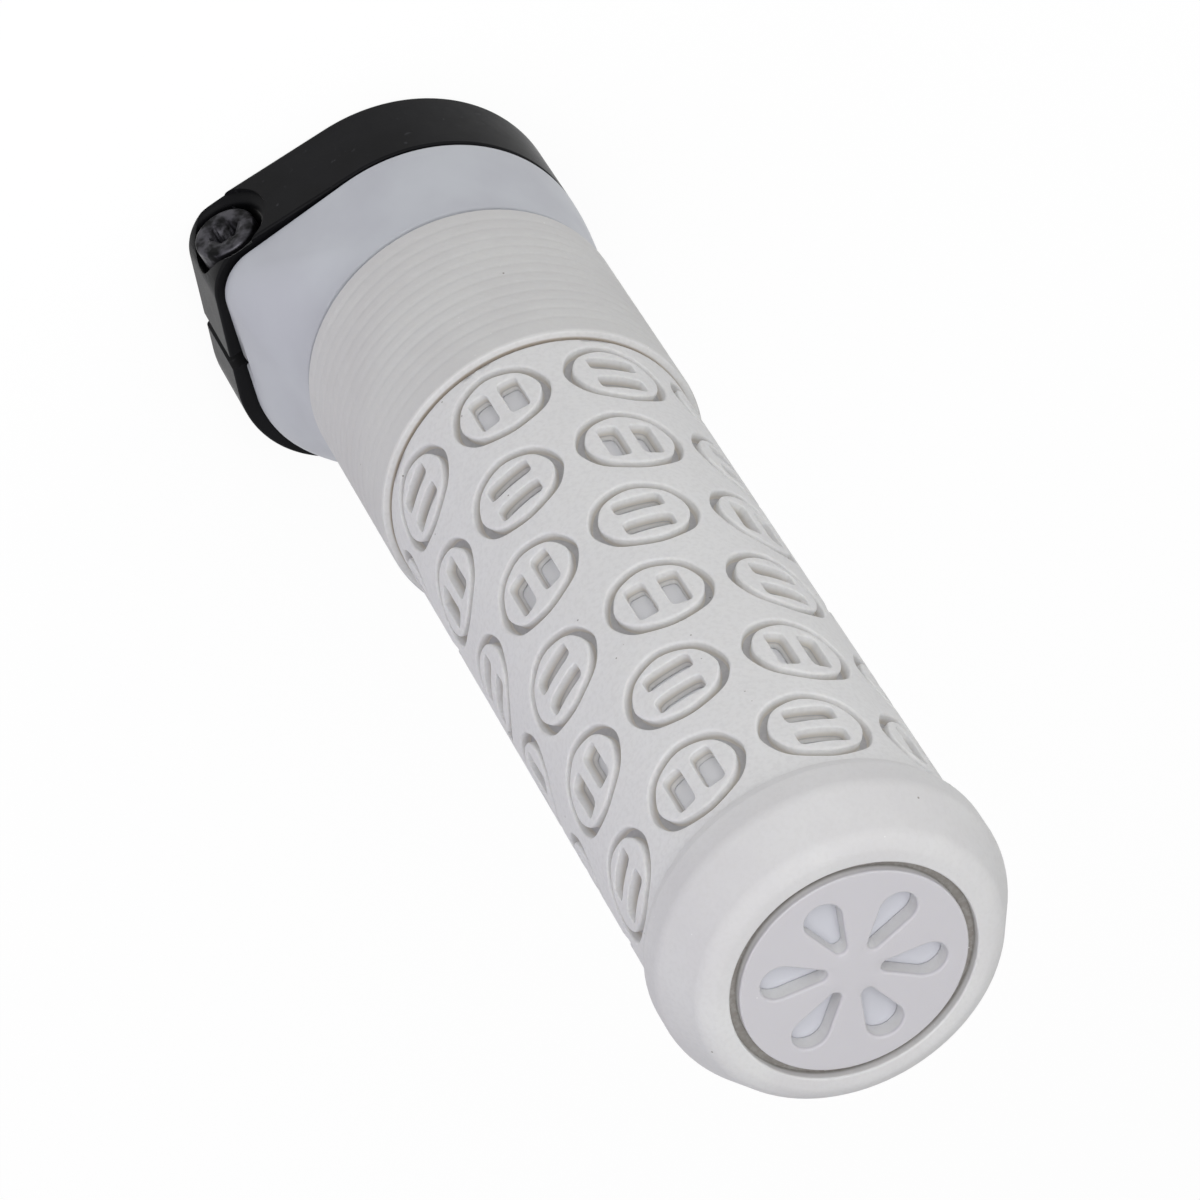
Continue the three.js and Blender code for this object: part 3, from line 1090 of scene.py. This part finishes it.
@dataclass
class Sleeve:
    """Rubber sleeve: ribs, shoulder, tread of slotted pads in moats, flange and end disc."""

    length: float = 134.0
    low: float = 22.9
    inner_radius: float = 14.95
    bore_rounding: float = 0.2
    rib_radius: float = 17.6
    rib_pitch: float = 1.8
    rib_depth: float = 0.11
    rib_power: int = 3
    rib_lead_in: float = 0.4
    shoulder_band: float = 1.9
    shoulder_z: float = 47.6
    shoulder_rounding: float = 0.3
    foot_groove_width: float = 0.4
    foot_groove_depth: float = 0.5
    corner_rounding: float = 0.1
    tread_radius: float = 16.7
    flange_width: float = 9.9
    lip_radius: float = 17.3
    lip_rounding: float = 0.3
    lip_slope: float = 1.3
    slope_rounding: float = 0.8
    flange_radius: float = 17.75
    flange_rounding: float = 2.5
    cone_length: float = 5.1
    cone_slope_radius: float = 17.5
    cone_slope_rounding: float = 4.0
    cone_end_radius: float = 15.3
    cone_end_rounding: float = 2.0
    cone_blend: float = 0.6
    end_ring_radius: float = 13.9
    end_ring_rounding: float = 2.0
    end_wall: float = 1.85
    disc_radius: float = 11.45
    disc_rounding: float = 0.18
    groove_width: float = 0.95
    groove_depth: float = 1.2
    groove_rounding: float = 0.22
    groove_floor_rounding: float = 0.12
    windows: int = 6
    window_root: Lobe = Lobe(3.4, 0.0, 0.7)
    window_tip: Lobe = Lobe(7.5, 0.0, 1.9)
    window_rounding: float = 0.25
    window_ring_radius: float = 10.6
    window_hub_radius: float = 1.5
    pads_around: int = 8
    row_pitch: float = 12.6
    row_turn_steps: int = 3
    moat_reach_around: float = 11.3
    moat_reach_along: float = 10.25
    moat_width: float = 0.95
    moat_depth: float = 1.15
    moat_sides: int = 8
    moat_power: int = 10
    edge_rounding: float = 0.26
    floor_rounding: float = 0.22
    slot_width: float = 2.2
    slot_length: float = 5.2
    slot_corner: float = 0.55
    slot_spacing: float = 3.5
    slot_rounding: float = 0.16
    foot_strip: float = 0.08
    side_steps: int = 12
    middle_steps: int = 8
    rib_steps: int = 8
    edge_steps: int = 3
    fillet_steps: int = 2
    slot_corner_steps: int = 6
    window_side_steps: int = 8

    def __post_init__(self) -> None:
        """Works out the tread's rows, which sit in the middle of the tread's length."""
        self.flange_start = self.length - self.flange_width
        self.rows = int((self.flange_start - self.shoulder_z) // self.row_pitch)
        spare = self.flange_start - self.shoulder_z - self.rows * self.row_pitch
        self.tread_low = self.shoulder_z + spare / 2
        self.tread_high = self.flange_start - spare / 2
        self.around = circle_angles(self.pads_around * self.side_steps)

    def build(self) -> None:
        """Builds the sleeve from its plain ends, its tread cells and its end disc."""
        patch = Patchwork("rubber_sleeve")
        patch.add(spin(self.thumb_profile(), self.around), closed=True)
        for row in range(self.rows):
            for pad in range(self.pads_around):
                self.add_cell(patch, row, pad)
        patch.add(spin(self.end_profile(), self.around), closed=True)
        inner_end = self.length - self.end_wall
        inner = np.array([
            (self.inner_radius, self.tread_high),
            (self.inner_radius, inner_end),
            (self.window_ring_radius, inner_end),
        ])
        patch.add(spin(inner, self.around), closed=True)
        self.add_disc(patch)
        sleeve = patch.sew()
        even_shading(sleeve)
        finish = MouldedRubber(
            tread_radius=self.tread_radius,
            moat_depth=self.moat_depth,
            tread_low=self.shoulder_z,
            tread_high=self.flange_start,
            groove_radius=self.disc_radius + self.groove_width / 2,
            groove_floor_z=self.length - self.groove_depth,
            end_z=self.length,
        )
        hand_over(sleeve, "grip_sleeve", finish.material())

    def thumb_profile(self) -> np.ndarray:
        """Profile of the ribbed end, from inside the bore round to the foot of the shoulder.

        Over the ribs the radius falls by the rib's depth times (1 - cos(2 pi s)) / 2 over each
        pitch s, raised to a power so that the crests are broad and the valleys narrow.

        Returns:
            Points of shape (points, 2), as radius and height.
        """
        rib_high = self.shoulder_z - self.shoulder_band
        count = int((rib_high - self.low - self.rib_lead_in) // self.rib_pitch)
        way = np.arange(count * self.rib_steps + 1) / self.rib_steps
        wave = ((1 - np.cos(2 * math.pi * way)) / 2) ** self.rib_power
        ribs = np.stack([
            self.rib_radius - self.rib_depth * wave,
            rib_high - (count - way) * self.rib_pitch,
        ], axis=-1)
        foot = rounded_profile([
            (self.inner_radius, self.tread_low, 0),
            (self.inner_radius, self.low, self.bore_rounding),
            (self.rib_radius, self.low, self.rib_lead_in),
            (self.rib_radius, ribs[0, 1], 0),
        ])
        groove_floor = self.tread_radius - self.foot_groove_depth
        groove_high = self.shoulder_z + self.foot_groove_width
        corner = self.corner_rounding
        shoulder = rounded_profile([
            (self.rib_radius, rib_high, 0),
            (self.rib_radius, self.shoulder_z, self.shoulder_rounding),
            (groove_floor, self.shoulder_z, corner),
            (groove_floor, groove_high, corner),
            (self.tread_radius, groove_high, corner),
            (self.tread_radius, self.tread_low, 0),
        ])
        return np.concatenate([foot[:-1], ribs, shoulder[1:]])

    def end_profile(self) -> np.ndarray:
        """Profile of flange, cone, end ring and groove, up to the ring of the disc's windows.

        Returns:
            Points of shape (points, 2), as radius and height.
        """
        length, foot = self.length, self.flange_start
        groove_outer = self.disc_radius + self.groove_width
        groove_floor = length - self.groove_depth
        cone_low = length - self.cone_length
        return rounded_profile([
            (self.tread_radius, self.tread_high, 0),
            (self.tread_radius, foot, self.corner_rounding),
            (self.lip_radius, foot, self.lip_rounding),
            (self.flange_radius, foot + self.lip_slope, self.slope_rounding),
            (self.flange_radius, cone_low - self.cone_blend, self.flange_rounding),
            (self.cone_slope_radius, cone_low, self.cone_slope_rounding),
            (self.cone_end_radius, length - self.cone_blend, self.cone_end_rounding),
            (self.end_ring_radius, length, self.end_ring_rounding),
            (groove_outer, length, self.groove_rounding),
            (groove_outer, groove_floor, self.groove_floor_rounding),
            (self.disc_radius, groove_floor, self.groove_floor_rounding),
            (self.disc_radius, length, self.disc_rounding),
            (self.window_ring_radius, length, 0),
        ])

    def outline(self, width: float, height: float) -> np.ndarray:
        """Many-sided outline with soft corners, one corner on each axis.

        It is the curve on which the reaches towards the sides, each raised to a power, add up to
        one, scaled to the width and height.

        Args:
            width: size round the sleeve, between two sides.
            height: size along it.

        Returns:
            Points of shape (border points, 2).
        """
        square = self.border(1.0, 1.0)
        angle = np.arctan2(square[:, 1], square[:, 0])
        sides = (np.arange(self.moat_sides) + 0.5) * 2 * math.pi / self.moat_sides
        reach = np.maximum(np.cos(angle[:, None] - sides), 0) ** self.moat_power
        radius = reach.sum(axis=-1) ** (-1 / self.moat_power) / 2
        return np.stack([width * radius * np.cos(angle), height * radius * np.sin(angle)], axis=-1)

    def border(self, width: float, height: float) -> np.ndarray:
        """Rectangle walked round from the middle of its right side, in even steps on each side.

        On a walk s of 0 to 8 each coordinate is |s - 4| - 2 held between -1 and 1, and the
        second one runs two behind the first.

        Args:
            width: size round the sleeve.
            height: size along it.

        Returns:
            Points of shape (border points, 2).
        """
        walk = np.arange(4 * self.side_steps) * (2 / self.side_steps)
        u = np.clip(np.abs(walk - 4) - 2, -1, 1)
        v = np.clip(np.abs((walk - 2) % 8 - 4) - 2, -1, 1)
        return np.stack([u * width / 2, v * height / 2], axis=-1)

    def moat_rings(self) -> tuple[np.ndarray, np.ndarray]:
        """Rings of one cell from its border over the moat to the rounded edge of its pad.

        Returns:
            Outlines of shape (rings, points, 2), and the radius from the sleeve's axis of each.
        """
        top, floor = self.tread_radius, self.tread_radius - self.moat_depth
        across, down = rounded_edge(self.edge_rounding, self.edge_steps)
        above, inwards = rounded_edge(self.floor_rounding, self.fillet_steps)
        grow = np.concatenate([across, -inwards])
        radii = np.concatenate([top - down, floor + above])
        width, height = self.moat_reach_around, self.moat_reach_along
        outer = [self.outline(width + 2 * g, height + 2 * g) for g in grow]
        pad_width, pad_height = width - 2 * self.moat_width, height - 2 * self.moat_width
        pad = [self.outline(pad_width - 2 * g, pad_height - 2 * g) for g in grow[::-1]]
        border = self.border(2 * math.pi * top / self.pads_around, self.row_pitch)
        between = (border + outer[0]) / 2
        rings = np.stack([border, between, *outer, *pad])
        return rings, np.concatenate([[top, top], radii, radii[::-1]])

    def slot_outline(self, grow: float) -> np.ndarray:
        """Rounded rectangle of a slot about its own centre, for one half of a pad.

        The first part runs round three sides in even steps and meets the pad's half edge, and
        the rest runs back along the side that faces the pad's middle.

        Args:
            grow: how far the outline lies outside the slot.

        Returns:
            Points of shape (half border points + middle points, 2).
        """
        corner = self.slot_corner + grow
        x = self.slot_width / 2 + grow - corner
        y = self.slot_length / 2 + grow - corner
        centres = np.array([(-x, -y), (x, -y), (x, y), (-x, y), (-x, -y)])
        turns = quarter(self.slot_corner_steps)
        starts = math.pi + np.arange(len(centres)) * math.pi / 2
        arcs = centres[:, None] + corner * rays(starts[:, None] + turns)
        middle = self.slot_corner_steps // 2
        walk = arcs.reshape(-1, 2)[middle:-middle]
        gone = np.concatenate([[0], np.cumsum(np.linalg.norm(np.diff(walk, axis=0), axis=1))])
        half = 2 * self.side_steps
        turn_back = gone[3 * len(turns)]
        stops = np.concatenate([
            np.linspace(0, turn_back, half + 1),
            np.linspace(turn_back, gone[-1], self.middle_steps + 1)[1:-1],
        ])
        return np.stack([np.interp(stops, gone, walk[:, axis]) for axis in (0, 1)], axis=-1)

    def add_cell(self, patch: Patchwork, row: int, pad: int) -> None:
        """Adds one cell of the tread: moat and pad outside, and two slots through to the bore.

        Args:
            patch: what the cell is sewn into.
            row: the cell's ring of pads.
            pad: its place in that ring.
        """
        turned = (row + pad) % 2
        rings, radii = self.moat_rings()
        angle = 2 * math.pi * pad / self.pads_around
        angle += row * self.row_turn_steps * 2 * math.pi / len(self.around)
        z = self.tread_low + (row + 0.5) * self.row_pitch
        patch.add(self.wrap(rings, radii, angle, z), closed=True)
        half = 2 * self.side_steps
        start = 0 if turned else -self.side_steps
        grow, down = rounded_edge(self.slot_rounding, self.fillet_steps)
        slot_radii = np.concatenate([
            [self.tread_radius],
            self.tread_radius - down,
            [self.inner_radius + self.foot_strip, self.inner_radius, self.inner_radius],
        ])
        for side in (0, 1):
            sign = 1 - 2 * side
            at = (start + side * half + np.arange(half + 1)) % (2 * half)
            shift = np.array([self.slot_spacing / 2, 0])
            slots = [(self.slot_outline(g) + shift) * sign for g in [*grow, 0.0, 0.0]]
            if turned:
                slots = [np.stack([-slot[:, 1], slot[:, 0]], axis=-1) for slot in slots]
            loops = [self.half_loop(rings[-1], at), *slots, self.half_loop(rings[0], at)]
            patch.add(self.wrap(np.stack(loops), slot_radii, angle, z), closed=True)

    def half_loop(self, ring: np.ndarray, at: np.ndarray) -> np.ndarray:
        """Half of a ring, closed by even steps along the straight line between its ends.

        Args:
            ring: points of the whole ring.
            at: places of the half's points in it.

        Returns:
            Points of shape (half border points + middle points, 2).
        """
        share = (np.arange(1, self.middle_steps) / self.middle_steps)[:, None]
        back = ring[at[-1]] * (1 - share) + ring[at[0]] * share
        return np.concatenate([ring[at], back])

    def wrap(self, rings: np.ndarray, radii: np.ndarray, angle: float, z: float) -> np.ndarray:
        """Wraps flat outlines round the sleeve: the turn is the way round over the tread's radius.

        Args:
            rings: outlines, with the way round the sleeve and the way along it.
            radii: each outline's distance from the sleeve's axis.
            angle: turn of the outlines' middle about that axis.
            z: height of their middle.

        Returns:
            A grid of shape (outlines, points, 3).
        """
        turn = rings[..., 0] / self.tread_radius + angle
        radius = radii[:, None]
        x, y = radius * np.cos(turn), radius * np.sin(turn)
        return np.stack([x, y, rings[..., 1] + z], axis=-1)

    def add_disc(self, patch: Patchwork) -> None:
        """Adds the end disc: a sector round each window, outside and inside, and two hubs.

        Args:
            patch: what the disc is sewn into.
        """
        per_sector = len(self.around) // self.windows
        half_turn = math.pi / self.windows
        arc = np.linspace(-half_turn, half_turn, per_sector + 1)
        share = np.linspace(0, 1, self.window_side_steps + 1)
        outer = rays(arc) * self.window_ring_radius
        hub = rays(arc)[::-1] * self.window_hub_radius
        sector = join_loop(outer, hub, share)
        root, tip = self.window_root, self.window_tip
        lean = math.acos((root.radius - tip.radius) / (tip.x - root.x))
        tip_turn = np.linspace(-lean, lean, per_sector + 1)
        root_turn = np.linspace(lean, 2 * math.pi - lean, per_sector + 1)
        grow, down = rounded_edge(self.window_rounding, self.edge_steps)
        window = [
            join_loop(arc_of(tip, tip_turn, step), arc_of(root, root_turn, step), share)
            for step in [*grow, 0.0, 0.0]
        ]
        low = self.length - self.end_wall
        heights = np.concatenate([
            [self.length], self.length - down, [low + self.foot_strip, low, low],
        ])
        loops = lift(np.stack([sector, *window, sector]), heights)
        for at in range(self.windows):
            patch.add(turn_z(loops, 2 * at * half_turn), closed=True)
        for height in (self.length, low):
            hub_profile = np.array([(self.window_hub_radius, height), (0.0, height)])
            patch.add(spin(hub_profile, self.around - half_turn), closed=True)


def arc_of(lobe: Lobe, turns: np.ndarray, grow: float) -> np.ndarray:
    """Points of a circle: its centre plus the directions times its grown radius.

    Args:
        lobe: the circle.
        turns: directions from its centre.
        grow: how much is added to its radius.

    Returns:
        Points of shape (turns, 2).
    """
    return np.array([lobe.x, lobe.y]) + rays(turns) * (lobe.radius + grow)


def join_loop(first: np.ndarray, second: np.ndarray, share: np.ndarray) -> np.ndarray:
    """Closes two runs of points into a loop by straight lines between their ends.

    Args:
        first: one run.
        second: the other, which goes on where the first one's line ends.
        share: even steps from 0 to 1 along the lines.

    Returns:
        Points of the loop.
    """
    inner = share[1:-1, None]
    over = first[-1] * (1 - inner) + second[0] * inner
    back = second[-1] * (1 - inner) + first[0] * inner
    return np.concatenate([first, over, second, back])


def turn_z(grid: np.ndarray, angle: float) -> np.ndarray:
    """Turns points about Z.

    Args:
        grid: points of shape (..., 3).
        angle: the turn.

    Returns:
        The turned points.
    """
    cosine, sine = math.cos(angle), math.sin(angle)
    x, y, z = grid[..., 0], grid[..., 1], grid[..., 2]
    return np.stack([cosine * x - sine * y, sine * x + cosine * y, z], axis=-1)


def hand_over(
    piece: bpy.types.Object, node: str, material: bpy.types.Material
) -> None:
    """Gives a piece its finish and lets it stand for a node of the frame.

    Args:
        piece: the new piece.
        node: the CAD node that it replaces.
        material: its finish.
    """
    piece.data.materials.clear()
    piece.data.materials.append(material)
    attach(piece, BODY)
    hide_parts(node)
    log.info("%s stands for %s", piece.name, node)


# Studio


@dataclass(frozen=True)
class Lamp:
    """A square soft lamp, with its power in watts and its colour as plain shares."""

    name: str
    place: Point
    size: float
    power: float
    tint: Point = (1.0, 1.0, 1.0)


@dataclass
class Studio:
    """Pale floor, white surroundings, soft lamps and the camera at the photograph's angle."""

    floor_size: float = 3000.0
    floor_gap: float = 0.05
    camera_place: Point = (423.3, 0.0, 572.8)
    camera_right: Point = (-0.40838, -0.84711, 0.34005)
    camera_up: Point = (0.64759, -0.53141, -0.54610)
    camera_back: Point = (0.64332, -0.0028, 0.76560)
    lens: float = 196.7
    sensor: float = 36.0
    world_strength: float = 0.285
    floor_paper: Colour = (0.9, 0.9, 0.9, 1.0)
    floor_glow: float = 1.03
    floor_share: float = 0.9
    target: Point = (0.0, 0.0, 70.0)
    lamps: tuple[Lamp, ...] = (
        Lamp("side_left", (90.0, 450.0, 180.0), 500.0, 0.54, (0.87, 0.83, 1.0)),
        Lamp("side_right", (150.0, -460.0, 270.0), 500.0, 0.54),
        Lamp("front", (345.0, -45.0, 410.0), 240.0, 0.49),
        Lamp("end", (120.0, 0.0, 480.0), 420.0, 0.9),
    )

    def build(self) -> None:
        """Builds floor, surroundings, lamps and camera."""
        self.add_floor()
        self.add_world()
        for lamp in self.lamps:
            self.add_lamp(lamp)
        self.add_camera()

    def add_floor(self) -> None:
        """Adds a floor just under the part that looks nearly white and keeps some shadow."""
        half = self.floor_size / 2 * MILLIMETRE
        z = -self.floor_gap * MILLIMETRE
        mesh = bpy.data.meshes.new("floor")
        corners = [(-half, -half, z), (half, -half, z), (half, half, z), (-half, half, z)]
        mesh.from_pydata(corners, [], [(0, 1, 2, 3)])
        floor = bpy.data.objects.new("floor", mesh)
        bpy.context.scene.collection.objects.link(floor)
        graph = ShaderGraph.of_material("pale_floor")
        paper = graph.add("ShaderNodeBsdfDiffuse", None, {0: self.floor_paper}).outputs[0]
        glow = graph.glow("ShaderNodeEmission", self.floor_glow)
        graph.to_surface(graph.blend(graph.seen() * self.floor_share, paper, glow))
        mesh.materials.append(graph.owner)

    def add_world(self) -> None:
        """Makes the surroundings white to the eye and a plain soft light on the object."""
        graph = ShaderGraph.of_world("surroundings")
        light = graph.glow("ShaderNodeBackground", self.world_strength)
        white = graph.glow("ShaderNodeBackground", 1.0)
        graph.to_surface(graph.blend(graph.seen(), light, white))
        bpy.context.scene.world = graph.owner

    def add_lamp(self, lamp: Lamp) -> None:
        """Adds a lamp that looks at the grip's middle.

        Args:
            lamp: its place, size, power and colour.
        """
        data = bpy.data.lights.new(lamp.name, "AREA")
        data.size = lamp.size * MILLIMETRE
        data.energy = lamp.power
        data.color = lamp.tint
        holder = bpy.data.objects.new(lamp.name, data)
        holder.location = Vector(lamp.place) * MILLIMETRE
        aim = Vector(self.target) * MILLIMETRE - holder.location
        holder.rotation_euler = aim.to_track_quat("-Z", "Y").to_euler()
        bpy.context.scene.collection.objects.link(holder)

    def add_camera(self) -> None:
        """Adds the camera with its own axes as columns of its matrix."""
        data = bpy.data.cameras.new("camera")
        data.lens = self.lens
        data.sensor_width = self.sensor
        camera = bpy.data.objects.new("camera", data)
        axes = (self.camera_right, self.camera_up, self.camera_back)
        turn = Matrix([Vector(axis) for axis in axes]).transposed().to_4x4()
        camera.matrix_world = Matrix.Translation(Vector(self.camera_place) * MILLIMETRE) @ turn
        bpy.context.scene.collection.objects.link(camera)
        bpy.context.scene.camera = camera


def main() -> None:
    """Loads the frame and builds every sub-assembly in order."""
    logging.basicConfig(level=logging.INFO, format="%(name)s: %(message)s")
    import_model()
    bpy.context.scene.view_settings.view_transform = "Standard"
    clamp = Clamp()
    clamp.build()
    Core(clamp).build()
    Sleeve().build()
    Studio().build()


if __name__ == "__main__":
    main()
